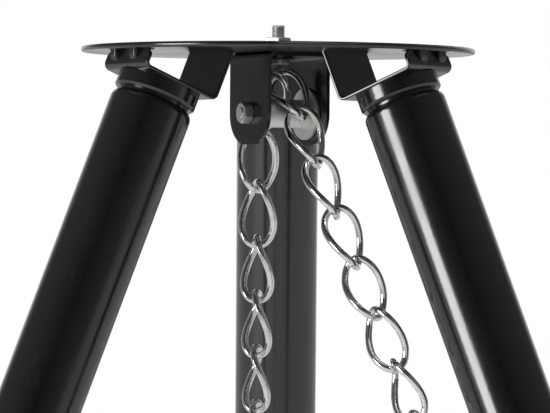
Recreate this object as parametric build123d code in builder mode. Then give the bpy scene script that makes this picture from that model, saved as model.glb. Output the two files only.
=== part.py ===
"""Heavy steel tripod: a round top plate on three leaning tube legs, with a chain
run over a roller under the plate and hooked to one leg. Units are millimetres.

The origin is on the plate's axis, at the top face of the nut that the centre stud
stands out of. +Z is up. The legs stand at azimuths 90 (rear), 210 (left) and 330
(right) degrees. The roller's bolt runs along azimuth 30 degrees.
"""
from build123d import *
from math import cos, pi, radians, sin, sqrt, tan
import os

os.makedirs("parts", exist_ok=True)

# ---- driving dimensions ----------------------------------------------------------
plate_diameter = 228.6
plate_thickness = 3.2

stud_radius = 3.97
stud_free_length = 7.1
stud_point = 0.9
top_nut_flats = 14.3
top_nut_height = 5.9
stud_head_flats = 12.7
stud_head_height = 3.2
stud_washer_radius = 9.0
stud_washer_thickness = 1.2
stud_hole_radius = 4.3
stud_shank_radius = 3.55
stud_head_turn = 10.0
plate_edge_radius = 1.4
nut_chamfer_angle = 30.0
nut_face_share = 0.95
top_nut_turn = 30.0

clevis_thickness = 2.0
clevis_width = 44.8
clevis_span = 41.0
clevis_shift = 1.2
ear_corner_radius = 18.0
ear_below_bolt = 18.2
bolt_below_plate = 34.9
bend_radius = 4.0

clevis_bolt_radius = 3.175
clevis_bolt_hole_radius = 3.3
clevis_nut_flats = 11.1
clevis_nut_height = 5.5
clevis_head_height = 4.0
clevis_bolt_beyond_nut = 0.6
clevis_bolt_point = 0.5
nut_turn = 8.0

roller_flange_radius = 15.0
roller_barrel_radius = 8.3
roller_flange_thickness = 1.6
roller_side_gap = 0.5
roller_bore_radius = 3.24

leg_azimuths = {"rear": 90.0, "left": 210.0, "right": 330.0}
leg_lean = 22.65
leg_axis_radius = 70.5
tube_radius = 24.15
tube_wall = 2.0
web_depth = 21.5
bracket_width = 50.8
bracket_web = 50.8
bracket_thickness = 2.0
lip_corner_radius = 6.0
sheared_edge_radius = 0.8
overall_height = 1706.0

collar_length = 9.0
collar_chamfer = 1.3
neck_radius = 20.4
shoulder_radius = 5.0
tube_start = 11.2
plug_length = 48.0
leg_bolt_radius = 5.0
leg_bolt_head_radius = 8.5
leg_bolt_head = 3.6
leg_bolt_dome = 3.0
leg_bolt_clearance = 0.2
leg_bolt_socket_flats = 6.0
leg_bolt_socket_depth = 2.2
leg_bolt_short_of_plug_end = 6.0
roll_angle = 60.0
plug_gap = 0.05

tube_joint = 905.0
swage_length = 80.0
swage_gap = 0.15
swage_taper = 8.0
tube_end_chamfer = 1.0
foot_radius = 29.5
foot_height = 62.0
foot_floor = 12.0
foot_lip = 2.5
foot_gap = 0.1
foot_lip_length = 12.0
weld_leg = 3.5
inner_weld_length = 42.0
tack_leg = 7.0
tack_length = 7.0
tack_starts = (-18.5, 3.5)

link_wire = 4.0
link_pitch = 32.0
link_slack = 0.9
link_width = 24.4
link_twist = 90.0
link_corners = 12
hanging_links = 22
hook_strand_links = 25
links_per_node = 12

hook_rod_radius = 3.5
hook_arm = 26.0
hook_tip = 20.0
hook_bend = 7.0
hook_sunk = 3.0
hook_weld_leg = 3.0
hook_weld_height = 5.2
link_rest_gap = 0.3

snap_wire_radius = 3.5
snap_half_width = 13.0
snap_straight = 34.0

# ---- places worked out from them -------------------------------------------------
plate_top_z = -top_nut_height
plate_under_z = plate_top_z - plate_thickness
bolt_z = plate_under_z - bolt_below_plate
floor_z = stud_free_length - overall_height
lean_sin = sin(radians(leg_lean))
lean_cos = cos(radians(leg_lean))

bolt_azimuth = 30.0
bolt_dir = Vector(cos(radians(bolt_azimuth)), sin(radians(bolt_azimuth)), 0)
front_dir = bolt_dir.cross(Vector(0, 0, 1))
bolt_centre = bolt_dir * clevis_shift + Vector(0, 0, bolt_z)
bolt_axis = Axis(bolt_centre, bolt_dir)
clevis_plane = Plane(origin=bolt_dir * clevis_shift, x_dir=bolt_dir, z_dir=front_dir)


def radial(azimuth):
    """The horizontal direction that a leg leans towards."""
    return Vector(cos(radians(azimuth)), sin(radians(azimuth)), 0)


def down_leg(azimuth):
    """The direction down a leg's axis."""
    return radial(azimuth) * lean_sin - Vector(0, 0, lean_cos)


def web_point(azimuth):
    """Where a leg's axis leaves the lower face of its bracket's web."""
    start = radial(azimuth) * leg_axis_radius + Vector(0, 0, plate_under_z)
    return start + down_leg(azimuth) * web_depth


def side_plane(azimuth, across=0.0):
    """The upright plane along one leg, moved sideways: local x is outward, y is up."""
    normal = radial(azimuth).cross(Vector(0, 0, 1))
    return Plane(origin=normal * across, x_dir=radial(azimuth), z_dir=normal)


def leg_plane(azimuth):
    """Plane along a leg for turned parts: local x is square to the leg, y runs up the leg."""
    up = down_leg(azimuth) * -1
    across = radial(azimuth) * lean_cos + Vector(0, 0, lean_sin)
    return Plane(origin=web_point(azimuth), x_dir=across, z_dir=across.cross(up))


def save(name, part):
    """Label a finished piece and write its file."""
    part.label = name
    export_step(part, "parts/" + name + ".step")


# ---- top plate --------------------------------------------------------------------
with BuildPart() as top_plate:
    with BuildSketch(Plane.XY.offset(plate_under_z)):
        Circle(plate_diameter / 2)
        Circle(stud_hole_radius, mode=Mode.SUBTRACT)
    extrude(amount=plate_thickness)
    fillet(top_plate.edges().filter_by(GeomType.CIRCLE).group_by(SortBy.RADIUS)[-1], plate_edge_radius)
save("top_plate", top_plate.part)

# ---- centre bolt: its head is under the clevis and its thread stands out on top ---
washer_top_z = plate_under_z - clevis_thickness
head_top_z = washer_top_z - stud_washer_thickness
with BuildPart() as centre_stud:
    with BuildSketch(Plane.XY.offset(head_top_z - stud_head_height)):
        RegularPolygon(stud_head_flats / 2, 6, major_radius=False, rotation=stud_head_turn)
    extrude(amount=stud_head_height)
    with BuildSketch(Plane.XY.offset(head_top_z)):
        Circle(stud_shank_radius)
    extrude(amount=-head_top_z)
    with BuildSketch(Plane.XY):
        Circle(stud_radius)
    extrude(amount=stud_free_length)
    chamfer(centre_stud.edges().filter_by(GeomType.CIRCLE).sort_by(Axis.Z)[-1], stud_point)
save("centre_stud", centre_stud.part)

with BuildPart() as stud_washer:
    with BuildSketch(Plane.XY.offset(head_top_z)):
        Circle(stud_washer_radius)
        Circle(stud_hole_radius, mode=Mode.SUBTRACT)
    extrude(amount=stud_washer_thickness)
save("stud_washer", stud_washer.part)


def hex_nut(plane, flats, height, bore, turn):
    """A hex nut on a plane, with the corners of both faces turned down to a cone."""
    corner = flats / sqrt(3)
    face = flats / 2 * nut_face_share
    drop = (corner - face) * tan(radians(nut_chamfer_angle))
    with BuildPart() as nut:
        with BuildSketch(plane):
            RegularPolygon(flats / 2, 6, major_radius=False, rotation=turn)
            Circle(bore, mode=Mode.SUBTRACT)
        extrude(amount=height)
        with BuildSketch(Plane(origin=plane.origin, x_dir=plane.x_dir, z_dir=plane.y_dir * -1)):
            with BuildLine():
                Polyline(
                    (0, 0), (face, 0), (corner, drop), (corner, height - drop),
                    (face, height), (0, height), close=True,
                )
            make_face()
        revolve(axis=Axis(plane.origin, plane.z_dir), mode=Mode.INTERSECT)
    return nut.part


plate_top_plane = Plane.XY.offset(plate_top_z)
nut = hex_nut(plate_top_plane, top_nut_flats, top_nut_height, stud_shank_radius, top_nut_turn)
save("top_nut", nut)

# ---- clevis: one strip bent into a U, its web bolted under the plate --------------
ear_bottom_z = bolt_z - ear_below_bolt
half_span = clevis_span / 2
ear_height = plate_under_z - ear_bottom_z
across_bolt = Plane(origin=bolt_centre, x_dir=front_dir * -1, z_dir=bolt_dir)
with BuildPart() as clevis:
    for inset, radius, mode in (
        (0, bend_radius, Mode.ADD),
        (clevis_thickness, bend_radius / 2, Mode.SUBTRACT),
    ):
        with BuildSketch(clevis_plane) as strip:
            with Locations((0, ear_bottom_z - bend_radius)):
                Rectangle(clevis_span - 2 * inset, 2 * (ear_height + bend_radius - inset))
            fillet(strip.vertices(), radius)
        extrude(amount=clevis_width, both=True, mode=mode)
    with BuildSketch(across_bolt) as ear:
        with Locations((0, -ear_below_bolt + ear_height)):
            Rectangle(clevis_width, 2 * ear_height)
        fillet(ear.vertices(), ear_corner_radius)
    extrude(amount=clevis_span, both=True, mode=Mode.INTERSECT)
    with BuildSketch(across_bolt):
        Circle(clevis_bolt_hole_radius)
    extrude(amount=clevis_span, both=True, mode=Mode.SUBTRACT)
    with BuildSketch(Plane.XY.offset(plate_under_z)):
        Circle(stud_hole_radius)
    extrude(amount=-2 * clevis_thickness, mode=Mode.SUBTRACT)
save("clevis", clevis.part)

# ---- roller and its bolt ----------------------------------------------------------
roller_half = half_span - clevis_thickness - roller_side_gap
barrel_half = roller_half - roller_flange_thickness
with BuildPart() as roller:
    with BuildSketch(clevis_plane):
        with BuildLine():
            outline = Polyline(
                (-roller_half, bolt_z + roller_bore_radius),
                (-roller_half, bolt_z + roller_flange_radius),
                (-barrel_half, bolt_z + roller_flange_radius),
                (-barrel_half, bolt_z + roller_barrel_radius),
                (barrel_half, bolt_z + roller_barrel_radius),
                (barrel_half, bolt_z + roller_flange_radius),
                (roller_half, bolt_z + roller_flange_radius),
                (roller_half, bolt_z + roller_bore_radius),
                close=True,
            )
        make_face()
    revolve(axis=bolt_axis)
save("roller", roller.part)

bolt_right = bolt_centre + bolt_dir * half_span
bolt_left = bolt_centre - bolt_dir * half_span
right_face = Plane(origin=bolt_right, x_dir=front_dir, z_dir=bolt_dir)
left_face = Plane(origin=bolt_left, x_dir=front_dir, z_dir=bolt_dir * -1)
with BuildPart() as clevis_bolt:
    with BuildSketch(right_face):
        RegularPolygon(clevis_nut_flats / 2, 6, major_radius=False, rotation=nut_turn)
    extrude(amount=clevis_head_height)
    with BuildSketch(right_face):
        Circle(clevis_bolt_radius)
    extrude(amount=-(clevis_span + clevis_nut_height + clevis_bolt_beyond_nut))
    point = clevis_bolt.edges().filter_by(GeomType.CIRCLE).sort_by(bolt_axis)[0]
    chamfer(point, clevis_bolt_point)
save("clevis_bolt", clevis_bolt.part)
bolt_nut = hex_nut(left_face, clevis_nut_flats, clevis_nut_height, clevis_bolt_radius, 90 + nut_turn)
save("clevis_nut", bolt_nut)

# ---- brackets: a bent strip for each leg, welded under the plate ------------------
def bracket(azimuth):
    """Inner flange, web square to the leg, and a short outer lip, from one strip."""
    across = Plane(origin=web_point(azimuth), x_dir=radial(azimuth + 90), z_dir=down_leg(azimuth))
    lip_side = leg_plane(azimuth).x_dir
    lip_foot = web_point(azimuth) + lip_side * (bracket_web / 2)
    lip_top = lip_foot - down_leg(azimuth) * ((plate_under_z - lip_foot.Z) / lean_cos)
    lip_plane = Plane(origin=lip_top, x_dir=radial(azimuth + 90), z_dir=lip_side)
    with BuildPart() as strip:
        for inset, radius, mode in (
            (0, bend_radius, Mode.ADD),
            (bracket_thickness, bend_radius / 2, Mode.SUBTRACT),
        ):
            with BuildSketch(leg_plane(azimuth)) as outline:
                with Locations((0, inset + bracket_web)):
                    Rectangle(bracket_web - 2 * inset, 2 * bracket_web)
                fillet(outline.vertices(), radius)
            extrude(amount=bracket_width / 2 if inset == 0 else bracket_width, both=True, mode=mode)
        ends = strip.faces().filter_by(lambda face: abs(face.normal_at().dot(across.x_dir)) > 0.99)
        fillet(ends.edges(), sheared_edge_radius)
        split(bisect_by=Plane.XY.offset(plate_under_z), keep=Keep.BOTTOM)
        with BuildSketch(lip_plane):
            Rectangle(bracket_width + 2, 2 * lip_corner_radius, align=(Align.CENTER, Align.MAX))
            with BuildSketch(mode=Mode.SUBTRACT) as kept:
                Rectangle(bracket_width, 4 * lip_corner_radius, align=(Align.CENTER, Align.MAX))
                fillet(kept.vertices().group_by(Axis.Y)[-1], lip_corner_radius)
        extrude(amount=2 * bracket_thickness, both=True, mode=Mode.SUBTRACT)
        with BuildSketch(across):
            Circle(leg_bolt_radius + leg_bolt_clearance)
        extrude(amount=-2 * bracket_thickness, mode=Mode.SUBTRACT)
    return strip.part


# ---- legs -------------------------------------------------------------------------
tube_bore = tube_radius - tube_wall
leg_length = (plate_under_z - floor_z) / lean_cos - web_depth
tube_end = leg_length - (foot_floor + tube_radius * lean_sin) / lean_cos
rolled_wall = shoulder_radius - tube_wall
roll_centre = tube_radius - shoulder_radius
roll_low = tube_start + shoulder_radius * sin(radians(roll_angle))


def turned(azimuth, draw):
    """Revolve a profile about a leg's axis: x is the radius, y is the distance down the leg."""
    with BuildPart() as part:
        with BuildSketch(leg_plane(azimuth)):
            with BuildLine():
                draw()
            make_face()
        revolve(axis=Axis(web_point(azimuth), down_leg(azimuth)))
    return part.part


def plug_profile():
    inside_roll = rolled_wall - plug_gap
    arc_out = (
        roll_centre + inside_roll * cos(radians(roll_angle)),
        inside_roll * sin(radians(roll_angle)) - roll_low,
    )
    Polyline(
        (leg_bolt_radius, 0), (tube_radius, 0), (tube_radius, -(collar_length - collar_chamfer)),
        (tube_radius - collar_chamfer, -collar_length), (neck_radius, -collar_length),
        (neck_radius, arc_out[1]), arc_out, (tube_bore - plug_gap, -roll_low),
        (tube_bore - plug_gap, -plug_length), (leg_bolt_radius, -plug_length), close=True,
    )


def upper_tube_profile():
    centre = (roll_centre, -roll_low)
    out = CenterArc(centre, shoulder_radius, 0, roll_angle)
    into = CenterArc(centre, rolled_wall, 0, roll_angle)
    Line(out @ 1, into @ 1)
    Polyline(out @ 0, (tube_radius, -tube_joint), (tube_bore, -tube_joint), into @ 0)


def lower_tube_profile():
    spigot = tube_bore - swage_gap
    spigot_top = -(tube_joint - swage_length)
    Polyline(
        (spigot, spigot_top), (spigot, -tube_joint), (tube_radius - tube_end_chamfer, -tube_joint),
        (tube_radius, -tube_joint - tube_end_chamfer), (tube_radius, -tube_end), (tube_bore, -tube_end),
        (tube_bore, -tube_joint - swage_taper), (spigot - tube_wall, -tube_joint),
        (spigot - tube_wall, spigot_top), close=True,
    )


def foot(azimuth):
    """A rubber boot round the tube's end, its sole cut level with the floor."""
    mouth = -(tube_end - (foot_height - foot_floor))
    bore = tube_radius + foot_gap
    beyond = -(leg_length + foot_radius)
    with BuildPart() as boot:
        with BuildSketch(leg_plane(azimuth)):
            with BuildLine():
                Polyline(
                    (bore, mouth), (foot_radius - foot_lip, mouth),
                    (foot_radius, mouth - foot_lip_length), (foot_radius, beyond), (0, beyond),
                    (0, -tube_end), (bore, -tube_end), close=True,
                )
            make_face()
        revolve(axis=Axis(web_point(azimuth), down_leg(azimuth)))
        split(bisect_by=Plane.XY.offset(floor_z), keep=Keep.TOP)
    return boot.part


def leg_bolt(azimuth):
    """The bolt that goes down through the web into the leg's plug."""
    face = Plane(origin=web_point(azimuth), x_dir=radial(azimuth + 90), z_dir=down_leg(azimuth) * -1)
    head = face.offset(bracket_thickness)
    with BuildPart() as bolt:
        with BuildSketch(head):
            Circle(leg_bolt_head_radius)
        extrude(amount=leg_bolt_head)
        fillet(bolt.faces().sort_by(Axis(head.origin, head.z_dir))[-1].edges(), leg_bolt_dome)
        with BuildSketch(head.offset(leg_bolt_head)):
            RegularPolygon(leg_bolt_socket_flats / 2, 6, major_radius=False)
        extrude(amount=-leg_bolt_socket_depth, mode=Mode.SUBTRACT)
        with BuildSketch(head):
            Circle(leg_bolt_radius)
        extrude(amount=-(bracket_thickness + plug_length - leg_bolt_short_of_plug_end))
    return bolt.part


def weld_beads(azimuth):
    """Weld in the corners between a bracket and the plate: one run inside, two tacks on the lip."""
    mirrored = azimuth == leg_azimuths["left"]
    tacks = [-start - tack_length if mirrored else start for start in tack_starts]
    with BuildPart() as beads:
        for side, starts, length, reach in (
            (-1, (-inner_weld_length / 2,), inner_weld_length, weld_leg),
            (1, tacks, tack_length, tack_leg),
        ):
            edge = web_point(azimuth) + leg_plane(azimuth).x_dir * (side * bracket_web / 2)
            corner = edge - down_leg(azimuth) * ((plate_under_z - edge.Z) / lean_cos)
            at = corner.dot(radial(azimuth))
            for start in starts:
                with BuildSketch(side_plane(azimuth, start)):
                    with BuildLine():
                        Polyline(
                            (at, plate_under_z),
                            (at + side * weld_leg, plate_under_z),
                            (at + lean_sin * reach, plate_under_z - lean_cos * reach),
                            close=True,
                        )
                    make_face()
                extrude(amount=length)
    return beads.part


for name, azimuth in leg_azimuths.items():
    save("bracket_" + name, bracket(azimuth))
    save("weld_beads_" + name, weld_beads(azimuth))
    save("leg_plug_" + name, turned(azimuth, plug_profile))
    save("leg_upper_tube_" + name, turned(azimuth, upper_tube_profile))
    save("leg_lower_tube_" + name, turned(azimuth, lower_tube_profile))
    save("foot_" + name, foot(azimuth))
    save("leg_bolt_" + name, leg_bolt(azimuth))


# ---- chain ------------------------------------------------------------------------
link_half_length = (link_pitch + link_slack + link_wire) / 2
link_half_width = (link_width - link_wire) / 2


def round_rod(points, radius, bend):
    """A round rod along straight runs joined by arcs."""
    with BuildPart() as rod:
        with BuildLine() as path:
            FilletPolyline(*points, radius=bend)
        with BuildSketch(Plane(origin=path.line @ 0, z_dir=path.line % 0)):
            Circle(radius)
        sweep(path=path.wires()[0])
    return rod.part


def twisted_link():
    """One link about the origin, its long way along Z, its ends turned a quarter turn apart.

    Its centre line is an oval whose plane turns as it goes up. Half of it is a rod from the
    bottom crown to the top one, and the other half is the same rod turned half round.
    """
    half_step = pi / link_corners
    points = [Vector(0, 0, -link_half_length)]
    for i in range(link_corners // 2):
        t = (2 * i + 1) * half_step - pi / 2
        reach = link_half_width * cos(t) / cos(half_step)
        turn = -radians(link_twist / 2) * sin(t)
        height = link_half_length * sin(t) / cos(half_step)
        points.append(Vector(reach * cos(turn), reach * sin(turn), height))
    points.append(Vector(0, 0, link_half_length))
    runs = [after - before for before, after in zip(points, points[1:])]
    room = [run.length / 2 for run in runs]
    room[0] = runs[0].length
    room[-1] = runs[-1].length
    bends = [
        0.97 * min(room[i], room[i + 1]) / tan(radians(runs[i].get_angle(runs[i + 1])) / 2)
        for i in range(len(runs) - 1)
    ]
    half = round_rod(points, link_wire / 2, bends)
    with BuildPart() as link:
        add(half)
        add(half.rotate(Axis.Z, 180))
    return link.part


def link_place(top, bottom, roll):
    """Where a link goes: from one joint to the next, its middle turned by roll degrees from +X."""
    down = (bottom - top).normalized()
    across = (Vector(1, 0, 0) - down * down.X).normalized()
    other = across.cross(down)
    lateral = across * cos(radians(roll)) + other * sin(radians(roll))
    return Location(Plane(origin=(top + bottom) / 2, x_dir=lateral, z_dir=down * -1))


def ease(x):
    """Smooth step from 0 to 1."""
    x = min(1.0, max(0.0, x))
    return x * x * (3 - 2 * x)


def links(places):
    """Separate links, each a copy of the same one."""
    with BuildPart() as run:
        add([one_link.moved(place) for place in places])
    return run.part


one_link = twisted_link().solid()

# The two links on the roller: joints at the crest, and where the chain leaves each side.
crest_back = Vector(-1.45, 6.78, -23.69)
crest_front = Vector(1.67, 9.01, -22.44)
leave_back = Vector(-10.63, 12.12, -53.89)
leave_front = Vector(11.73, -12.38, -44.0)
back_roll = 26.0
front_roll = 12.0
save("chain_on_roller", links([
    link_place(crest_back, leave_back, back_roll),
    link_place(crest_front, leave_front, front_roll),
]))

# The run to the leg's hook: it leaves the roller square to the bolt, then heads for the leg
# and is pulled straight by the load.
strand_azimuth = 331.6
strand_start_lean = 24.3
strand_end_lean = 24.5
first_azimuth = 311.7
first_lean = 27.8
first_roll = 30.0
flat_roll = 40.0
hung_roll = -76.0
hooked_roll = -165.0
links_to_turn = 5.6


def step(point, azimuth, lean):
    """The next joint, one pitch on, at a lean from straight down."""
    return point + (radial(azimuth) * sin(radians(lean)) - Vector(0, 0, cos(radians(lean)))) * link_pitch


strand_start = Vector(11.97, -11.39, -43.97)
joints = [strand_start, step(strand_start, first_azimuth, first_lean)]
for i in range(hook_strand_links - 1):
    lean = strand_start_lean + (strand_end_lean - strand_start_lean) * i / (hook_strand_links - 2)
    joints.append(step(joints[-1], strand_azimuth, lean))


def strand_roll(i):
    """The run lies flat off the roller, hangs edge on, and turns again to sit square on the hook."""
    if i == 0:
        return first_roll
    links_left = hook_strand_links - 1 - i
    hanging = (hung_roll - flat_roll) * ease((i - 1) / links_to_turn)
    hooked = (hooked_roll - hung_roll) * (1 - ease(links_left / links_to_turn))
    return flat_roll + hanging + hooked


strand_places = [link_place(joints[i], joints[i + 1], strand_roll(i)) for i in range(hook_strand_links)]
save("chain_to_hook_upper", links(strand_places[:links_per_node]))
save("chain_to_hook_lower", links(strand_places[links_per_node:]))

# The hanging run: each link is turned less from the one above it.
hang_final_roll = -78.0
hang_roll_left = 0.58


def hang_roll(i):
    """How far a link of the hanging run is turned."""
    return hang_final_roll * (1 - hang_roll_left ** i)


hang_top = Vector(-11.23, 11.92, -54.05)
hang_drop = Vector(0, 0, -link_pitch)
hang_places = [
    link_place(hang_top + hang_drop * i, hang_top + hang_drop * (i + 1), hang_roll(i))
    for i in range(hanging_links)
]
save("hanging_link", links(hang_places[:1]))
save("load_chain_upper", links(hang_places[1:links_per_node]))
save("load_chain_lower", links(hang_places[links_per_node:]))

# ---- the hook on the right leg ----------------------------------------------------
hook_azimuth = leg_azimuths["right"]
inward = leg_plane(hook_azimuth).x_dir * -1
leg_down = down_leg(hook_azimuth)
last_down = (joints[-1] - joints[-2]).normalized()
rod_rise = hook_rod_radius + link_rest_gap - link_slack / 2
rod_point = joints[-1] - last_down * rod_rise
from_leg = rod_point - web_point(hook_azimuth)
leg_foot = web_point(hook_azimuth) + leg_down * from_leg.dot(leg_down)
arm_root = rod_point - inward * (rod_point - leg_foot).dot(inward)
arm_end = arm_root + inward * (tube_radius + hook_arm)
tube_solid = Location(Plane(origin=leg_foot, z_dir=leg_down)) * Cylinder(tube_radius, 5 * tube_radius)
hook_points = [
    arm_root + inward * (tube_radius - hook_sunk), arm_end, arm_end + leg_down * (hook_tip + hook_bend),
]
hook_rod = round_rod(hook_points, hook_rod_radius, hook_bend)
with BuildPart() as leg_hook:
    add(hook_rod)
    add(tube_solid, mode=Mode.SUBTRACT)
save("leg_hook", leg_hook.part)

hook_weld_start = arm_root + inward * (tube_radius - hook_sunk)
weld_plane = Plane(origin=hook_weld_start, x_dir=leg_down, z_dir=leg_down.cross(inward))
with BuildPart() as hook_weld:
    with BuildSketch(weld_plane):
        with BuildLine():
            Polyline(
                (hook_rod_radius, 0), (hook_rod_radius + hook_weld_leg, 0),
                (hook_rod_radius + hook_weld_leg, hook_sunk),
                (hook_rod_radius, hook_sunk + hook_weld_height / 2), close=True,
            )
        make_face()
    revolve(axis=Axis(arm_root, inward))
    add(tube_solid, mode=Mode.SUBTRACT)
save("leg_hook_weld", hook_weld.part)

# ---- snap hook on the end of the hanging run --------------------------------------
hang_end = hang_top + hang_drop * hanging_links
snap_plane_azimuth = hang_roll(hanging_links - 1) + link_twist / 2 + 90
snap_top = hang_end + Vector(0, 0, snap_wire_radius + link_rest_gap - link_slack / 2)
snap_side = radial(snap_plane_azimuth)
snap_normal = snap_side.cross(Vector(0, 0, 1))
snap_centre = snap_top - Vector(0, 0, snap_half_width + snap_straight / 2)
gate_top = snap_straight / 2 - 4
gate_pivot = 3 - snap_straight / 2
gate_gap = 0.4
tab_gap = 0.2
pin_gap = 0.05
pin_head = 0.4
hinge_radius = 3.3
hinge_drop = 4.2
tab_half = 1.5
gate_pin_radius = 1.2


def on_snap(x, y):
    """A point in the snap hook's plane."""
    return snap_centre + snap_side * x + Vector(0, 0, y)


snap_points = [
    on_snap(snap_half_width, gate_pivot),
    on_snap(snap_half_width, -snap_straight / 2 - snap_half_width),
    on_snap(-snap_half_width, -snap_straight / 2 - snap_half_width),
    on_snap(-snap_half_width, snap_straight / 2 + snap_half_width),
    on_snap(snap_half_width, snap_straight / 2 + snap_half_width),
    on_snap(snap_half_width, gate_top + gate_gap),
]
hinge_plane = Plane(origin=on_snap(snap_half_width, gate_pivot), x_dir=snap_side, z_dir=snap_normal)
with BuildPart() as snap_hook:
    add(round_rod(snap_points, snap_wire_radius, snap_half_width - 0.05))
    with BuildSketch(hinge_plane):
        with Locations((0, (gate_top - gate_pivot - hinge_drop) / 2)):
            Rectangle(4 * snap_wire_radius, gate_top - gate_pivot + hinge_drop)
    extrude(amount=2 * snap_wire_radius, both=True, mode=Mode.SUBTRACT)
    with BuildSketch(hinge_plane):
        Circle(hinge_radius)
        with Locations((0, -hinge_drop / 2)):
            Rectangle(2 * hinge_radius, hinge_drop)
        Circle(gate_pin_radius, mode=Mode.SUBTRACT)
    extrude(amount=tab_half, both=True)
save("snap_hook", snap_hook.part)

with BuildPart() as snap_gate:
    with BuildSketch(Plane(origin=hinge_plane.origin, x_dir=snap_side, z_dir=(0, 0, 1))):
        Circle(hinge_radius)
    extrude(amount=gate_top - gate_pivot)
    with BuildSketch(hinge_plane):
        Circle(hinge_radius)
    extrude(amount=hinge_radius, both=True)
    with BuildSketch(hinge_plane):
        Rectangle(4 * hinge_radius, 2 * hinge_drop)
    extrude(amount=tab_half + tab_gap, both=True, mode=Mode.SUBTRACT)
    with BuildSketch(hinge_plane):
        Circle(gate_pin_radius + pin_gap)
    extrude(amount=2 * hinge_radius, both=True, mode=Mode.SUBTRACT)
save("snap_gate", snap_gate.part)

with BuildPart() as snap_pin:
    with BuildSketch(hinge_plane):
        Circle(gate_pin_radius)
    extrude(amount=hinge_radius + pin_head, both=True)
save("snap_pin", snap_pin.part)

print("bolt centre", bolt_centre, "direction", bolt_dir)
print("hanging run: top joint", hang_top, "second", hang_top + hang_drop, "end", hang_end)
print("snap hook top", snap_top, "normal", snap_normal, "hinge", hinge_plane.origin, "centre", snap_centre)
print("floor", floor_z, "feet at radius", leg_axis_radius + (plate_under_z - floor_z) * lean_sin / lean_cos)
print("hook arm root", arm_root, "end", arm_end, "rod from leg axis", (rod_point - leg_foot).dot(inward))
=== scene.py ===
# %% [markdown]
# # A heavy steel tripod with a chain over a roller
# The stand is a round steel plate on three leaning tube legs. A chain runs over a roller under the
# plate: one end hangs down the middle with a snap hook, and the other end is hooked to the right leg.
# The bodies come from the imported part, so this file only adds what a CAD model leaves out: threads,
# smooth forged links, weld ripples, and finishes. Lengths here are in millimetres until a mesh is
# made, because that is how the maker's drawing gives them.

import math
import random

import bpy
from mathutils import Matrix, Vector


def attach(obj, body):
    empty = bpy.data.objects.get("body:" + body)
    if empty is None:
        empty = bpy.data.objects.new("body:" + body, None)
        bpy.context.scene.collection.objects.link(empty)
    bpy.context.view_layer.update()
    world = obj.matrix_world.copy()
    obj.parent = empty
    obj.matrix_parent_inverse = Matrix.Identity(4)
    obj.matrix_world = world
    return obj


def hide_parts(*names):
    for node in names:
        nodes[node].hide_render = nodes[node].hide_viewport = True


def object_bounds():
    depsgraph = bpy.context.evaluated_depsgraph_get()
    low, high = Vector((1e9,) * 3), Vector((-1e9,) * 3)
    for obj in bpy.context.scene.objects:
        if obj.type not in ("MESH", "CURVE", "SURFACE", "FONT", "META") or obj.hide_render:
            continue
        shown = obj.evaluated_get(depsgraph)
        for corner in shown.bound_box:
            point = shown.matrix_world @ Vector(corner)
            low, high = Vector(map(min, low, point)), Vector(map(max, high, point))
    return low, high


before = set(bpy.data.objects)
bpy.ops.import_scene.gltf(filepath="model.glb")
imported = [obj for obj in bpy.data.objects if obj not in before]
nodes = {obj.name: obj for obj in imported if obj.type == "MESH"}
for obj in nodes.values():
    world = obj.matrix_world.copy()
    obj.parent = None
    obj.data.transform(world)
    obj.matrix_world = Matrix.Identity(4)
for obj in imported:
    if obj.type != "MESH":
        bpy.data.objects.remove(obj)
cad_low, cad_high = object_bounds()
MM = 0.001
print("nodes", len(nodes), "box", [round(v, 4) for v in (*cad_low, *cad_high)])

# %% [markdown]
# ## The camera
# A long lens a little over four metres away keeps the legs' edges almost parallel. The camera stands
# slightly lower than the plate, so the plate's underside shows as a thin sliver. It could be aimed
# with a Track To constraint, but writing its pitch and roll keeps the horizon's small tilt exact.

# %% Camera
CAMERA_ASIDE = -0.0012
CAMERA_DISTANCE = 4.174
CAMERA_HEIGHT = -0.1551
LENS = 471.3
PITCH = 0.785
ROLL = 0.45

lens = bpy.data.cameras.new("long_lens")
lens.lens = LENS
lens.sensor_width = 36.0
lens.clip_start = 0.1
lens.clip_end = 400.0
camera = bpy.data.objects.new("camera", lens)
bpy.context.scene.collection.objects.link(camera)
aim = Matrix.Rotation(math.radians(90 + PITCH), 4, "X") @ Matrix.Rotation(math.radians(ROLL), 4, "Z")
camera.matrix_world = Matrix.Translation((CAMERA_ASIDE, -CAMERA_DISTANCE, CAMERA_HEIGHT)) @ aim
bpy.context.scene.camera = camera
print("camera", [round(v, 3) for v in camera.location])

# %% [markdown]
# ## Floor and backdrop
# The floor is a wide pale disc at the height of the feet. It is a disc and not a curved paper sweep,
# because a sweep would stand in the way when the stand is looked at from behind.

# %% Floor
FLOOR_RADIUS = 58.0
FLOOR_GAP = 0.0002


def disc(name, radius, height, sides=128):
    """A flat round sheet, level, facing up."""
    rim = [(radius * math.cos(2 * math.pi * i / sides), radius * math.sin(2 * math.pi * i / sides), height)
           for i in range(sides)]
    mesh = bpy.data.meshes.new(name)
    mesh.from_pydata(rim, [], [tuple(range(sides))])
    piece = bpy.data.objects.new(name, mesh)
    bpy.context.scene.collection.objects.link(piece)
    return piece


floor = disc("floor", FLOOR_RADIUS, cad_low.z - FLOOR_GAP)
print("floor at", round(cad_low.z, 4))

# %% [markdown]
# ## Shader help
# A material is a small network of nodes. These helpers add a node, fill its sockets and wire it, so
# that each finish below reads as a short list of what it is made of.

# %% Node helpers
def node(tree, kind, values=None, **settings):
    """Add a node, set its options, and fill or wire the named input sockets."""
    made = tree.nodes.new(kind)
    for key, value in settings.items():
        setattr(made, key, value)
    for key, value in (values or {}).items():
        if isinstance(value, bpy.types.NodeSocket):
            tree.links.new(value, made.inputs[key])
        else:
            made.inputs[key].default_value = value
    return made


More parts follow.
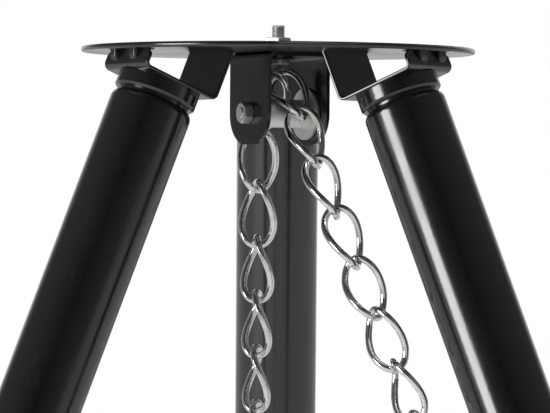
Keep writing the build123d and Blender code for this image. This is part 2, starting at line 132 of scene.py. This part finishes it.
def math_node(tree, operation, a, b=0.0):
    """One arithmetic step; returns its output socket."""
    return node(tree, "ShaderNodeMath", {0: a, 1: b}, operation=operation).outputs[0]


def ramp(tree, value, low, high):
    """Smoothly stretch a value so that low becomes 0 and high becomes 1."""
    return node(tree, "ShaderNodeMapRange", {"Value": value, "From Min": low, "From Max": high},
                interpolation_type="SMOOTHSTEP").outputs[0]


def noise(tree, vector, scale, detail=2.0, rough=0.5):
    """A cloudy pattern; scale is in patches for each metre."""
    return node(tree, "ShaderNodeTexNoise",
                {"Vector": vector, "Scale": scale, "Detail": detail, "Roughness": rough}).outputs["Fac"]


def shader_group(name, inputs, outputs):
    """An empty node group with named sockets; returns its tree and its two ends."""
    tree = bpy.data.node_groups.new(name, "ShaderNodeTree")
    for socket, kind, value in inputs:
        made = tree.interface.new_socket(socket, in_out="INPUT", socket_type=kind)
        if value is not None:
            made.default_value = value
    for socket, kind in outputs:
        tree.interface.new_socket(socket, in_out="OUTPUT", socket_type=kind)
    return tree, tree.nodes.new("NodeGroupInput"), tree.nodes.new("NodeGroupOutput")


print("helpers ready")

# %% [markdown]
# ## Orange peel
# Powder coat is melted on, and it never levels out like glass. Its skin has soft dimples a
# millimetre or two across with a finer grain in them, and a few nibs of dust baked in. Modelling
# this would take millions of faces, so it is a height map made of three noises.

# %% Orange peel group
FLOAT = "NodeSocketFloat"
VECTOR = "NodeSocketVector"
peel, peel_in, peel_out = shader_group(
    "orange_peel",
    [("Vector", VECTOR, None), ("Dimples per metre", FLOAT, 600.0), ("Nibs", FLOAT, 1.0)],
    [("Height", FLOAT), ("Nib mask", FLOAT)],
)
dimple = noise(peel, peel_in.outputs[0], peel_in.outputs[1], 1.0)
fine_scale = math_node(peel, "MULTIPLY", peel_in.outputs[1], 4.5)
grain = noise(peel, peel_in.outputs[0], fine_scale, 2.0)
nib_scale = math_node(peel, "MULTIPLY", peel_in.outputs[1], 0.55)
nib_field = noise(peel, peel_in.outputs[0], nib_scale, 0.0)
nib = math_node(peel, "MULTIPLY", ramp(peel, nib_field, 0.76, 0.82), peel_in.outputs[2])
skin = math_node(peel, "ADD", dimple, math_node(peel, "MULTIPLY", grain, 0.16))
skin = math_node(peel, "ADD", skin, math_node(peel, "MULTIPLY", nib, 0.7))
peel.links.new(skin, peel_out.inputs["Height"])
peel.links.new(nib, peel_out.inputs["Nib mask"])
print("group", peel.name, len(peel.nodes), "nodes")

# %% [markdown]
# ## Handling marks
# Everything that is carried gets fine rub lines and finger smudges. Both are masks from 0 to 1: the
# rub lines are a noise squeezed one way so that it turns to streaks, broken up by a second noise,
# and the smudges are a large soft noise. Each finish chooses what they do to it.

# %% Handling marks group
marks, marks_in, marks_out = shader_group(
    "handling_marks",
    [("Vector", VECTOR, None), ("Streaks per metre", FLOAT, 900.0), ("Smudges per metre", FLOAT, 22.0)],
    [("Streak", FLOAT), ("Smudge", FLOAT)],
)
SQUEEZE = (1.0, 0.8, 0.05)
squeezed = node(marks, "ShaderNodeVectorMath", {0: marks_in.outputs[0], 1: SQUEEZE}, operation="MULTIPLY")
streaks = ramp(marks, noise(marks, squeezed.outputs[0], marks_in.outputs[1], 2.0, 0.6), 0.60, 0.72)
breakup_scale = math_node(marks, "MULTIPLY", marks_in.outputs[2], 3.0)
breakup = ramp(marks, noise(marks, marks_in.outputs[0], breakup_scale, 2.0), 0.5, 0.68)
marks.links.new(math_node(marks, "MULTIPLY", streaks, breakup), marks_out.inputs["Streak"])
smudges = ramp(marks, noise(marks, marks_in.outputs[0], marks_in.outputs[2], 4.0, 0.6), 0.42, 0.7)
marks.links.new(smudges, marks_out.inputs["Smudge"])
print("group", marks.name, len(marks.nodes), "nodes")

# %% [markdown]
# ## Settled dust
# Dust lies on what faces up. The surface's own normal tells how level it is, and a noise makes the
# film patchy.

# %% Settled dust group
dust, dust_in, dust_out = shader_group(
    "settled_dust",
    [("Vector", VECTOR, None), ("Amount", FLOAT, 0.3), ("Patches per metre", FLOAT, 60.0)],
    [("Dust", FLOAT)],
)
facing = node(dust, "ShaderNodeSeparateXYZ", {0: node(dust, "ShaderNodeNewGeometry").outputs["Normal"]})
level = ramp(dust, facing.outputs[2], 0.35, 1.0)
patches = ramp(dust, noise(dust, dust_in.outputs[0], dust_in.outputs[2], 6.0, 0.65), 0.3, 0.75)
film = math_node(dust, "MULTIPLY", level, math_node(dust, "MULTIPLY", patches, dust_in.outputs[1]))
dust.links.new(film, dust_out.inputs["Dust"])
print("group", dust.name, len(dust.nodes), "nodes")

# %% [markdown]
# ## Starting a finish
# Each finish starts the same way: a material with one Principled shader, and the object's own
# coordinates, which are metres here and stay with a piece when it moves.

# %% Material helpers
def start_material(name):
    """A material with its shader and coordinates ready; returns them and the tree."""
    material = bpy.data.materials.new(name)
    material.use_nodes = True
    tree = material.node_tree
    shader = tree.nodes["Principled BSDF"]
    where = tree.nodes.new("ShaderNodeTexCoord").outputs["Object"]
    return material, tree, shader, where


def place_group(tree, group, values):
    """Put one of the shared groups in a material."""
    made = tree.nodes.new("ShaderNodeGroup")
    made.node_tree = group
    for key, value in values.items():
        if isinstance(value, bpy.types.NodeSocket):
            tree.links.new(value, made.inputs[key])
        else:
            made.inputs[key].default_value = value
    return made


def blend_colours(tree, mask, first, second):
    """Mix two colours by a mask; returns the colour socket."""
    made = node(tree, "ShaderNodeMix", {0: mask}, data_type="RGBA")
    for index, colour in ((6, first), (7, second)):
        if isinstance(colour, bpy.types.NodeSocket):
            tree.links.new(colour, made.inputs[index])
        else:
            made.inputs[index].default_value = (*colour, 1.0)
    return made.outputs[2]


def add_bump(tree, shader, height, distance, strength=1.0, under=None):
    """Turn a height into a normal on the shader; distance is in metres."""
    bump = node(tree, "ShaderNodeBump", {"Height": height, "Distance": distance, "Strength": strength})
    if under is not None:
        tree.links.new(under, bump.inputs["Normal"])
    tree.links.new(bump.outputs[0], shader.inputs["Normal"])
    return bump.outputs[0]


print("material helpers ready")

# %% [markdown]
# ## Black powder coat
# The plate, brackets, clevis, tubes, plugs and welds share one glossy black coat. It is a plastic skin
# on steel, so it is not metallic: a nearly black base with a clear, slightly dimpled gloss. Its
# roughness drifts, smudges dull it, and dust greys the faces that look up.

# %% Powder coat
def powder_coat(name, roughness, dimples, depth, dust_amount, ripple=0.0):
    """Glossy black coat; ripple adds the waviness of a weld under it."""
    material, tree, shader, where = start_material(name)
    skin_group = place_group(tree, peel, {"Vector": where, "Dimples per metre": dimples, "Nibs": 0.8})
    mark_group = place_group(tree, marks, {"Vector": where, "Streaks per metre": 1100.0})
    dust_group = place_group(tree, dust, {"Vector": where, "Amount": dust_amount})
    tone = blend_colours(tree, noise(tree, where, 9.0, 3.0), (0.0045, 0.0047, 0.0052), (0.008, 0.008, 0.0083))
    rubbed = blend_colours(tree, math_node(tree, "MULTIPLY", mark_group.outputs["Streak"], 0.35),
                           tone, (0.05, 0.05, 0.052))
    dusty = blend_colours(tree, dust_group.outputs["Dust"], rubbed, (0.30, 0.29, 0.28))
    tree.links.new(dusty, shader.inputs["Base Color"])
    gloss = math_node(tree, "ADD", math_node(tree, "MULTIPLY", mark_group.outputs["Smudge"], 0.07), roughness)
    gloss = math_node(tree, "ADD", gloss, math_node(tree, "MULTIPLY", mark_group.outputs["Streak"], 0.10))
    gloss = math_node(tree, "ADD", gloss, math_node(tree, "MULTIPLY", dust_group.outputs["Dust"], 0.9))
    tree.links.new(gloss, shader.inputs["Roughness"])
    shader.inputs["Specular IOR Level"].default_value = 0.85
    shader.inputs["IOR"].default_value = 1.5
    height = skin_group.outputs["Height"]
    if ripple:
        lumps = noise(tree, where, 420.0, 2.0)
        height = math_node(tree, "ADD", height, math_node(tree, "MULTIPLY", lumps, ripple))
    add_bump(tree, shader, height, depth)
    return material


coat = powder_coat("black_powder_coat", 0.16, 560.0, 0.000022, 0.05)
weld_coat = powder_coat("black_coat_on_weld", 0.20, 900.0, 0.00006, 0.10, ripple=3.0)
print("made", coat.name, weld_coat.name)

# %% [markdown]
# ## Bright zinc
# The stud, nuts, roller and its bolt are zinc plated: a grey metal with a cool and a
# straw tint in patches, rolled or turned lines under the plating, and small dull spots.

# %% Zinc plate
def zinc_plate(name, roughness, lines_per_metre, bright, line_depth):
    """Bright zinc over machined steel."""
    material, tree, shader, where = start_material(name)
    mark_group = place_group(tree, marks, {"Vector": where, "Streaks per metre": lines_per_metre,
                                           "Smudges per metre": 90.0})
    tint = ramp(tree, noise(tree, where, 160.0, 3.0), 0.35, 0.7)
    cool = tuple(bright * v for v in (0.97, 0.99, 1.0))
    straw = tuple(bright * v for v in (0.98, 0.95, 0.86))
    plated = blend_colours(tree, tint, cool, straw)
    spots = ramp(tree, noise(tree, where, 1400.0, 1.0), 0.66, 0.78)
    dulled = blend_colours(tree, math_node(tree, "MULTIPLY", spots, 0.5), plated, (0.30, 0.30, 0.30))
    tree.links.new(dulled, shader.inputs["Base Color"])
    shader.inputs["Metallic"].default_value = 1.0
    rough = math_node(tree, "ADD", math_node(tree, "MULTIPLY", mark_group.outputs["Smudge"], 0.14), roughness)
    rough = math_node(tree, "ADD", rough, math_node(tree, "MULTIPLY", mark_group.outputs["Streak"], 0.15))
    tree.links.new(rough, shader.inputs["Roughness"])
    height = math_node(tree, "ADD", noise(tree, where, 2600.0, 2.0), mark_group.outputs["Streak"])
    add_bump(tree, shader, height, line_depth)
    return material


zinc = zinc_plate("bright_zinc", 0.42, 3000.0, 0.80, 0.00001)
galvanised = zinc_plate("galvanised_roller", 0.46, 1500.0, 0.86, 0.00003)
print("made", zinc.name, galvanised.name)

# %% [markdown]
# ## Polished plate on the chain
# The links are plated bright, almost like chrome. They knock against each other, so the shine is
# broken by tiny dents and a grey film of rub marks. The dents are a cell pattern in the bump.

# %% Chain plate
def chain_plate(name):
    """Bright plate on wire that has been handled."""
    material, tree, shader, where = start_material(name)
    mark_group = place_group(tree, marks, {"Vector": where, "Streaks per metre": 2400.0,
                                           "Smudges per metre": 120.0})
    film = blend_colours(tree, mark_group.outputs["Smudge"], (0.83, 0.83, 0.84), (0.70, 0.69, 0.68))
    grime = ramp(tree, noise(tree, where, 300.0, 4.0, 0.65), 0.60, 0.80)
    worn = blend_colours(tree, math_node(tree, "MULTIPLY", grime, 0.55), film, (0.20, 0.19, 0.18))
    tree.links.new(worn, shader.inputs["Base Color"])
    shader.inputs["Metallic"].default_value = 1.0
    rough = math_node(tree, "ADD", math_node(tree, "MULTIPLY", mark_group.outputs["Smudge"], 0.10), 0.07)
    rough = math_node(tree, "ADD", rough, math_node(tree, "MULTIPLY", grime, 0.20))
    tree.links.new(rough, shader.inputs["Roughness"])
    dents = node(tree, "ShaderNodeTexVoronoi", {"Vector": where, "Scale": 420.0}).outputs["Distance"]
    soft = ramp(tree, dents, 0.0, 0.5)
    height = math_node(tree, "ADD", soft, math_node(tree, "MULTIPLY", noise(tree, where, 1500.0, 3.0), 0.5))
    add_bump(tree, shader, height, 0.000016)
    return material


bright_chain = chain_plate("bright_chain_plate")
print("made", bright_chain.name)

# %% [markdown]
# ## Rubber boots
# The boots are moulded rubber: matt, very dark, with a fine leather-like mould grain, and greyed low
# down where they stand on dusty floors.

# %% Rubber
rubber, rubber_tree, rubber_shader, rubber_where = start_material("black_rubber")
rubber_dust = place_group(rubber_tree, dust, {"Vector": rubber_where, "Amount": 0.35})
rubber_marks = place_group(rubber_tree, marks, {"Vector": rubber_where, "Smudges per metre": 40.0})
rubber_tone = blend_colours(rubber_tree, rubber_marks.outputs["Smudge"],
                            (0.018, 0.018, 0.018), (0.034, 0.033, 0.032))
rubber_top = blend_colours(rubber_tree, rubber_dust.outputs["Dust"], rubber_tone, (0.22, 0.21, 0.20))
rubber_tree.links.new(rubber_top, rubber_shader.inputs["Base Color"])
rubber_worn = math_node(rubber_tree, "MULTIPLY", rubber_marks.outputs["Smudge"], 0.15)
rubber_rough = math_node(rubber_tree, "ADD", rubber_worn, 0.62)
rubber_tree.links.new(rubber_rough, rubber_shader.inputs["Roughness"])
rubber_cells = node(rubber_tree, "ShaderNodeTexVoronoi", {"Vector": rubber_where, "Scale": 900.0})
add_bump(rubber_tree, rubber_shader, rubber_cells.outputs["Distance"], 0.00012)
print("made", rubber.name)

# %% [markdown]
# ## Floor paper
# The floor is pale matt paper with a very faint mottle, so it doesn't look like an empty plane.

# %% Floor material
paper, paper_tree, paper_shader, paper_where = start_material("pale_paper")
paper_mottle = noise(paper_tree, paper_where, 1.5, 5.0)
paper_tone = blend_colours(paper_tree, paper_mottle, (0.60, 0.60, 0.60), (0.64, 0.64, 0.635))
paper_tree.links.new(paper_tone, paper_shader.inputs["Base Color"])
paper_shader.inputs["Roughness"].default_value = 0.8
paper_shader.inputs["Emission Color"].default_value = (1.0, 1.0, 1.0, 1.0)
paper_shader.inputs["Emission Strength"].default_value = 0.35
floor.data.materials.append(paper)
print("made", paper.name)

# %% [markdown]
# ## Which node has which finish
# The CAD nodes keep their shapes. Each one's own material is swapped for the finish of its kind.

# %% Dress the CAD nodes
finishes = [
    ("foot_", rubber), ("weld_beads_", weld_coat), ("leg_hook_weld", weld_coat), ("roller", galvanised),
    ("clevis_bolt", zinc), ("clevis_nut", zinc), ("top_nut", zinc), ("centre_stud", zinc),
    ("stud_washer", coat), ("snap_", bright_chain), ("chain_", bright_chain), ("load_chain", bright_chain),
    ("hanging_link", bright_chain), ("", coat),
]


def dress(piece, material):
    """Give a whole piece one material."""
    piece.data.materials.clear()
    piece.data.materials.append(material)


for name, piece in nodes.items():
    dress(piece, next(material for start, material in finishes if name.startswith(start)))
print("dressed", len(nodes), "nodes")

# %% [markdown]
# ## The centre bolt's thread
# The bolt stands out of its nut by seven millimetres of coarse thread, which is what anything set on
# the plate screws onto. A real thread is a groove that climbs one pitch in each turn. It is made here
# as a fine tube whose radius depends on height minus angle, so the groove winds by itself, and the
# same tube tapers to the point at the top.

# %% Threaded bolt
THREADS_PER_INCH = 18
THREAD_PITCH = 25.4 / THREADS_PER_INCH
THREAD_RADIUS = 3.96
THREAD_DEPTH = 0.80
FREE_LENGTH = 7.1
POINT = 0.9
HEAD_TOP = -12.3
HEAD_HEIGHT = 3.2
HEAD_FLATS = 12.7
SHANK_RADIUS = 3.55
THREAD_FOOT = -0.6
THREAD_STEPS = 110
ROUND_SIDES = 64


def grid_mesh(name, rows, closed=True):
    """A surface from rings of points, all of one length; a closed ring joins its last point to its first."""
    count = len(rows[0])
    points = [tuple(v * MM for v in p) for row in rows for p in row]
    faces = []
    for i in range(len(rows) - 1):
        for j in range(count if closed else count - 1):
            k = (j + 1) % count
            faces.append((i * count + j, i * count + k, (i + 1) * count + k, (i + 1) * count + j))
    if closed:
        faces.append(tuple(range(count - 1, -1, -1)))
        faces.append(tuple((len(rows) - 1) * count + j for j in range(count)))
    mesh = bpy.data.meshes.new(name)
    mesh.from_pydata(points, [], faces)
    mesh.update()
    return mesh


def smooth(mesh, angle=35.0):
    """Smooth shading that keeps edges sharper than the angle."""
    mesh.shade_smooth()
    mesh.set_sharp_from_angle(angle=math.radians(angle))


def thread_ring(height, sides=ROUND_SIDES):
    """One ring of the thread: a rounded V that follows height minus angle."""
    ring = []
    for j in range(sides):
        turn = 2 * math.pi * j / sides
        phase = (height / THREAD_PITCH - j / sides) % 1.0
        crest = min(1.0, max(0.0, (abs(phase - 0.5) * 2 - 0.14) / 0.74))
        radius = THREAD_RADIUS - THREAD_DEPTH * crest
        radius = min(radius, THREAD_RADIUS - POINT + (FREE_LENGTH - height))
        ring.append((radius * math.cos(turn), radius * math.sin(turn), height))
    return ring


thread_rings = [thread_ring(THREAD_FOOT + (FREE_LENGTH - THREAD_FOOT) * i / THREAD_STEPS)
                for i in range(THREAD_STEPS + 1)]
thread_mesh = grid_mesh("thread", thread_rings)


def hex_head_rings(flats, low, high, turn, steps=96):
    """Rings for a hex head whose top and bottom corners are turned off to a cone."""
    def outline(height, limit):
        ring = []
        for j in range(steps):
            angle = 2 * math.pi * j / steps
            local = (angle - math.radians(turn) + math.pi / 6) % (math.pi / 3) - math.pi / 6
            radius = min(flats / 2 / math.cos(local), limit)
            ring.append((radius * math.cos(angle), radius * math.sin(angle), height))
        return ring
    corner = flats / math.sqrt(3)
    face = flats / 2 * 0.96
    drop = (corner - face) * math.tan(math.radians(30))
    heights = [(low, face), (low + drop * 0.5, (face + corner) / 2), (low + drop, corner),
               (high - drop, corner), (high - drop * 0.5, (face + corner) / 2), (high, face)]
    return [outline(h, limit) for h, limit in heights]


head_mesh = grid_mesh("head", hex_head_rings(HEAD_FLATS, HEAD_TOP - HEAD_HEIGHT, HEAD_TOP, 10.0))
shank_turns = [2 * math.pi * j / ROUND_SIDES for j in range(ROUND_SIDES)]
shank_rings = [[(SHANK_RADIUS * math.cos(a), SHANK_RADIUS * math.sin(a), height) for a in shank_turns]
               for height in (HEAD_TOP, THREAD_FOOT)]
shank_mesh = grid_mesh("shank", shank_rings)


def joined(name, meshes):
    """One object from several meshes."""
    points, faces = [], []
    for mesh in meshes:
        first = len(points)
        points += [tuple(v.co) for v in mesh.vertices]
        faces += [tuple(first + i for i in polygon.vertices) for polygon in mesh.polygons]
        bpy.data.meshes.remove(mesh)
    mesh = bpy.data.meshes.new(name)
    mesh.from_pydata(points, [], faces)
    mesh.update()
    smooth(mesh)
    piece = bpy.data.objects.new(name, mesh)
    bpy.context.scene.collection.objects.link(piece)
    return piece


def stand_for(piece, material, slot, body, *cad):
    """Finish a piece, hang it on its body, and let it stand for its CAD nodes."""
    dress(piece, material)
    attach(piece, body)
    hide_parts(*cad)
    print(piece.name, len(piece.data.polygons), "faces, stands for", cad)


threaded_bolt = joined("centre_bolt_threaded", [thread_mesh, head_mesh, shank_mesh])
stand_for(threaded_bolt, zinc, "zinc", "stand", "centre_stud")

# %% [markdown]
# ## One twisted link
# Each link is a ring of round wire, pulled to an oval and then given a quarter of a turn, so that
# links lie close to each other. A torus could be bent and twisted with modifiers, but writing the
# wire's centre line as a formula is shorter, and it puts the crowns exactly where the joints are.
# The wire swells a little on one side, where its ends are welded.

# %% Link shape
WIRE = 4.0
PITCH_OF_LINKS = 32.0
LINK_SLACK = 0.9
LINK_WIDTH = 24.4
HALF_LENGTH = (PITCH_OF_LINKS + LINK_SLACK + WIRE) / 2
HALF_WIDTH = (LINK_WIDTH - WIRE) / 2
HALF_TWIST = math.radians(45)
FULLNESS = 0.90


def full(value):
    """Push a sine outward, so that the oval has fuller shoulders than an ellipse."""
    return math.copysign(abs(value) ** FULLNESS, value)


def wire_centre(t):
    """The link's centre line, with t once round; the plane of the oval turns as it climbs."""
    climb = full(math.sin(t))
    turn = -HALF_TWIST * climb
    reach = HALF_WIDTH * full(math.cos(t))
    return Vector((reach * math.cos(turn), reach * math.sin(turn), HALF_LENGTH * climb))


def link_points(around=72, sides=18):
    """Rings of the link's skin about the origin, its long way along Z."""
    rows = []
    for i in range(around):
        t = 2 * math.pi * i / around
        along = (wire_centre(t + 0.01) - wire_centre(t - 0.01)).normalized()
        inward = (-wire_centre(t) + along * wire_centre(t).dot(along)).normalized()
        aside = along.cross(inward)
        swell = 1.0 + 0.05 * math.exp(-((t - math.pi) / 0.10) ** 2)
        radius = WIRE / 2 * swell
        for j in range(sides):
            a = 2 * math.pi * j / sides
            rows.append(wire_centre(t) + (inward * math.cos(a) + aside * math.sin(a)) * radius)
    faces = []
    for i in range(around):
        for j in range(sides):
            k, n = (j + 1) % sides, (i + 1) % around
            faces.append((i * sides + j, i * sides + k, n * sides + k, n * sides + j))
    return rows, faces


link_skin, link_faces = link_points()
print("a link has", len(link_faces), "faces")

# %% [markdown]
# ## Where the links go
# The links lie where the CAD chain has them: from joint to joint, each one rolled about its own
# length. The run to the leg starts square to the roller's bolt, heads for the leg, and turns over
# from flat to edge on. The hanging run turns more slowly with each link.

# %% Chain runs
LINKS_TO_LEG = 25
LINKS_HANGING = 22
LINKS_PER_NODE = 12
FIRST_AZIMUTH, FIRST_LEAN, FIRST_ROLL = 311.7, 27.8, 30.0
LEG_AZIMUTH, LEG_LEAN, LEAN_GAIN = 331.6, 24.3, 0.2
FLAT_ROLL, HUNG_ROLL, HOOKED_ROLL = 40.0, -76.0, -165.0
LINKS_TO_TURN = 5.6
HANG_ROLL, HANG_ROLL_LEFT = -78.0, 0.58


def ease(x):
    """A soft start and stop between 0 and 1."""
    x = min(1.0, max(0.0, x))
    return x * x * (3 - 2 * x)


def place(top, bottom, roll):
    """The place of a link between two joints, rolled from +X by degrees."""
    down = (bottom - top).normalized()
    across = (Vector((1, 0, 0)) - down * down.x).normalized()
    other = across.cross(down)
    lateral = across * math.cos(math.radians(roll)) + other * math.sin(math.radians(roll))
    up = -down
    turned = Matrix((lateral, up.cross(lateral), up)).transposed().to_4x4()
    return Matrix.Translation((top + bottom) / 2) @ turned


def leg_step(point, azimuth, lean):
    """The next joint, one link further down."""
    a, b = math.radians(azimuth), math.radians(lean)
    down = Vector((math.cos(a) * math.sin(b), math.sin(a) * math.sin(b), -math.cos(b)))
    return point + down * PITCH_OF_LINKS


def leg_roll(i):
    """Flat at the roller, edge on along the run, and turned again to meet the hook."""
    if i == 0:
        return FIRST_ROLL
    left = LINKS_TO_LEG - 1 - i
    hung = (HUNG_ROLL - FLAT_ROLL) * ease((i - 1) / LINKS_TO_TURN)
    hooked = (HOOKED_ROLL - HUNG_ROLL) * (1 - ease(left / LINKS_TO_TURN))
    return FLAT_ROLL + hung + hooked


leg_joints = [Vector((11.97, -11.39, -43.97))]
leg_joints.append(leg_step(leg_joints[0], FIRST_AZIMUTH, FIRST_LEAN))
for i in range(LINKS_TO_LEG - 1):
    lean = LEG_LEAN + LEAN_GAIN * i / (LINKS_TO_LEG - 2)
    leg_joints.append(leg_step(leg_joints[-1], LEG_AZIMUTH, lean))
leg_places = [place(leg_joints[i], leg_joints[i + 1], leg_roll(i)) for i in range(LINKS_TO_LEG)]

hang_top = Vector((-11.23, 11.92, -54.05))
hang_step = Vector((0, 0, -PITCH_OF_LINKS))
hang_places = [
    place(hang_top + hang_step * i, hang_top + hang_step * (i + 1), HANG_ROLL * (1 - HANG_ROLL_LEFT ** i))
    for i in range(LINKS_HANGING)
]
roller_places = [
    place(Vector((-1.45, 6.78, -23.69)), Vector((-10.63, 12.12, -53.89)), 26.0),
    place(Vector((1.67, 9.01, -22.44)), Vector((11.73, -12.38, -44.0)), 12.0),
]
hang_end = hang_top + hang_step * LINKS_HANGING
print("chain ends", [round(v, 1) for v in leg_joints[-1]], [round(v, 1) for v in hang_end])

# %% [markdown]
# ## Making the chain
# Every run is one object of separate links, cut where the CAD nodes are cut, so each object can ride
# on its own body. Instances of one link would be lighter, but a joined mesh is simpler to export.

# %% Chain pieces
def chain_run(name, places):
    """Separate links in one object."""
    points, faces = [], []
    for spot in places:
        first = len(points)
        points += [tuple((spot @ p) * MM) for p in link_skin]
        faces += [tuple(first + i for i in face) for face in link_faces]
    mesh = bpy.data.meshes.new(name)
    mesh.from_pydata(points, [], faces)
    mesh.update()
    mesh.shade_smooth()
    piece = bpy.data.objects.new(name, mesh)
    bpy.context.scene.collection.objects.link(piece)
    return piece


for name, places, body, cad in (
    ("links_over_roller", roller_places, "stand", "chain_on_roller"),
    ("links_to_leg_upper", leg_places[:LINKS_PER_NODE], "stand", "chain_to_hook_upper"),
    ("links_to_leg_lower", leg_places[LINKS_PER_NODE:], "stand", "chain_to_hook_lower"),
    ("first_hanging_link", hang_places[:1], "top_link", "hanging_link"),
    ("links_hanging_upper", hang_places[1:LINKS_PER_NODE], "load_chain", "load_chain_upper"),
    ("links_hanging_lower", hang_places[LINKS_PER_NODE:], "load_chain", "load_chain_lower"),
):
    stand_for(chain_run(name, places), bright_chain, "chain_plate", body, cad)

# %% [markdown]
# ## Weld beads
# The brackets are welded under the plate. A bead of weld is a row of overlapping puddles, so its
# face bulges and ripples and its ends are rounded. Each bead is lofted along its corner, its size
# following a saw of small humps with a seeded wobble, so no two beads are the same.

# %% Welds
PLATE_UNDER = -9.1
LEAN = math.radians(22.65)
AXIS_RADIUS = 70.5
WEB_DEPTH = 21.5
WEB_HALF = 25.4
WELD_LEG = 3.4
TACK_LEG = 6.8
RIPPLE = 2.1
LEG_AZIMUTHS = {"rear": 90.0, "left": 210.0, "right": 330.0}
wobble = random.Random(7)


def bead_rings(azimuth, side, start, length, reach, steps_per_ripple=7, across=12):
    """Rings along one bead: x is outward on the leg's plane, y is along the corner."""
    out = Vector((math.cos(math.radians(azimuth)), math.sin(math.radians(azimuth)), 0))
    sideways = out.cross(Vector((0, 0, 1)))
    down_leg = out * math.sin(LEAN) - Vector((0, 0, math.cos(LEAN)))
    web = out * AXIS_RADIUS + Vector((0, 0, PLATE_UNDER)) + down_leg * WEB_DEPTH
    edge = web + (out * math.cos(LEAN) + Vector((0, 0, math.sin(LEAN)))) * (side * WEB_HALF)
    corner = edge - down_leg * ((PLATE_UNDER - edge.z) / math.cos(LEAN))
    corner = out * corner.dot(out) + Vector((0, 0, PLATE_UNDER))
    count = int(length / RIPPLE) * steps_per_ripple
    rings = []
    puddle = 1.0
    for i in range(count + 1):
        if i % steps_per_ripple == 0:
            puddle = wobble.uniform(0.90, 1.04)
        s = i / count
        hump = 0.93 + 0.07 * math.sin(math.pi * (i % steps_per_ripple) / steps_per_ripple)
        ends = min(1.0, math.sqrt(max(0.02, 1 - (2 * s - 1) ** 10)))
        leg = WELD_LEG * puddle * hump * ends
        spot = corner + sideways * (start + length * s)
        ring = [spot + Vector((0, 0, 0.02)) - out * side * 0.3]
        for j in range(across + 1):
            a = j / across
            from_plate = out * side * leg * (1 - a)
            to_bracket = down_leg * leg * a * reach / WELD_LEG
            bulge = (out * side - Vector((0, 0, 1))).normalized() * math.sin(math.pi * a) * leg * 0.16
            ring.append(spot + from_plate + to_bracket + bulge)
        rings.append([tuple(p) for p in ring])
    return rings


def weld_runs(name):
    """Side, start, length and reach of each bead: a long one inside, and two tacks on the lip."""
    tacks = (11.5, -10.5) if name == "left" else (-18.5, 3.5)
    return [(-1, -21.0, 42.0, WELD_LEG)] + [(1, start, 7.0, TACK_LEG) for start in tacks]


for name, azimuth in LEG_AZIMUTHS.items():
    beads = [grid_mesh("bead", bead_rings(azimuth, side, start, length, reach))
             for side, start, length, reach in weld_runs(name)]
    stand_for(joined("weld_ripples_" + name, beads), weld_coat, "black_paint", "stand", "weld_beads_" + name)

# %% [markdown]
# ## Light
# Gloss black has almost no colour of its own, so what it mirrors is what is seen. One large soft box
# stands on the left and draws the pale band down the tubes. A lamp overhead was tried as well, but
# the legs looked greyer with it, so the light from above comes from the surroundings instead.

# %% Soft boxes
def soft_box(name, azimuth, distance, height, size, watts):
    """An area light aimed at the top of the stand; azimuth 0 is the camera's side, positive is right."""
    light = bpy.data.lights.new(name, "AREA")
    light.shape = "RECTANGLE"
    light.size, light.size_y = size
    light.energy = watts
    piece = bpy.data.objects.new(name, light)
    a = math.radians(azimuth)
    spot = Vector((math.sin(a) * distance, -math.cos(a) * distance, height))
    aimed = Vector((0, 0, -0.25)) - spot
    piece.matrix_world = Matrix.Translation(spot) @ aimed.to_track_quat("-Z", "Y").to_matrix().to_4x4()
    bpy.context.scene.collection.objects.link(piece)
    return piece


soft_box("soft_box_left", -61.0, 3.2, -0.2, (1.35, 1.5), 62.0)

# %% [markdown]
# ## Surroundings
# The room is brightest behind the stand and overhead, a little bright at the sides, and nearly dark
# on the camera's side, so that the rims catch more light than the fronts. It is a formula of
# direction and not a set of white boards, because boards would show when the stand is seen from
# behind. The camera itself sees plain white.

# %% World
world = bpy.data.worlds.new("pale_surroundings")
world.use_nodes = True
bpy.context.scene.world = world
sky = world.node_tree
sky.nodes.clear()
direction = node(sky, "ShaderNodeSeparateXYZ", {0: sky.nodes.new("ShaderNodeTexCoord").outputs["Generated"]})
behind = ramp(sky, direction.outputs[1], 0.72, 0.97)
sides = math_node(sky, "MULTIPLY", math_node(sky, "ABSOLUTE", direction.outputs[0]), 0.16)
ceiling = math_node(sky, "MULTIPLY", ramp(sky, direction.outputs[2], 0.78, 0.97), 0.9)
glow = math_node(sky, "ADD", math_node(sky, "MULTIPLY", behind, 0.95), math_node(sky, "ADD", sides, 0.03))
glow = math_node(sky, "ADD", glow, ceiling)
seen = node(sky, "ShaderNodeBackground", {"Color": (1.0, 1.0, 1.0, 1.0), "Strength": 1.0})
lit = node(sky, "ShaderNodeBackground", {"Color": (1.0, 1.0, 1.0, 1.0), "Strength": glow})
choice = node(sky, "ShaderNodeMixShader", {0: sky.nodes.new("ShaderNodeLightPath").outputs["Is Camera Ray"],
                                           1: lit.outputs[0], 2: seen.outputs[0]})
node(sky, "ShaderNodeOutputWorld", {"Surface": choice.outputs[0]})
bpy.context.scene.view_settings.view_transform = "Standard"
print("world ready")
